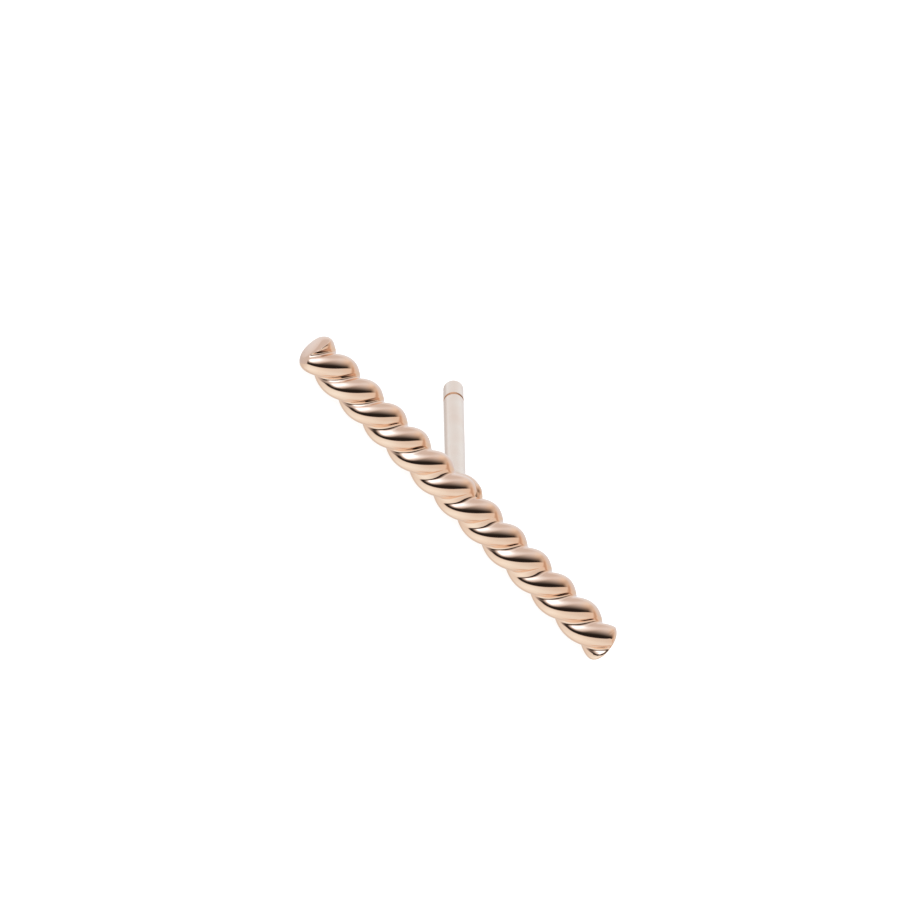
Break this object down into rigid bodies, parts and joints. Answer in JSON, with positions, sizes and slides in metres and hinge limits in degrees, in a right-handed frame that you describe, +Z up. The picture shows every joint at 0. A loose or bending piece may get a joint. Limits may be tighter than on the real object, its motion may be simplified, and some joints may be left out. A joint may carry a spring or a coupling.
{
  "type": "stud earring",
  "caption": "Stud earring: a straight bar of polished rose gold twisted like rope, with a round ear post standing off the back of its middle.",
  "frame": {"origin": "on the surface that the stud lies on, under the middle of its bounding box", "axes": "+X along the twisted bar, +Y the way the post points from the bar, +Z up from the surface that it lies on"},
  "size_m": [0.0197, 0.0114, 0.0019],
  "materials": {
    "rose_gold": "polished"
  },
  "bodies": {
    "root": {"twisted_bar_stud": "rose_gold"}
  },
  "joints": []
}
